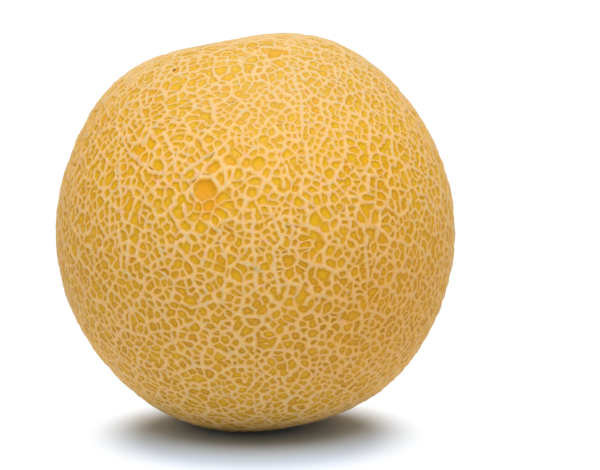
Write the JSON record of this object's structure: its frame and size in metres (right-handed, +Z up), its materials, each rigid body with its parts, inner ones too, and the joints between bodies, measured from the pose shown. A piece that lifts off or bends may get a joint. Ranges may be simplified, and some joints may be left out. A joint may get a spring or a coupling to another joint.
{
  "type": "netted melon",
  "caption": "Whole ripe melon, nearly round, with a raised corky net over golden skin, a flattened stem end and a small flat spot to rest on",
  "frame": {"origin": "middle of the underside of the melon's box, in the plane of the small flat spot that it rests on", "axes": "+Z up; the side that faces the picture's camera faces -Y; +X is to the right in the picture, so the stem end leans to -X and a little to +Y"},
  "size_m": [0.15, 0.1501, 0.1482],
  "materials": {
    "netted_skin": "satin golden-yellow skin under a dry, matt, pale corky net"
  },
  "bodies": {
    "root": {"melon": "netted_skin"}
  },
  "joints": []
}
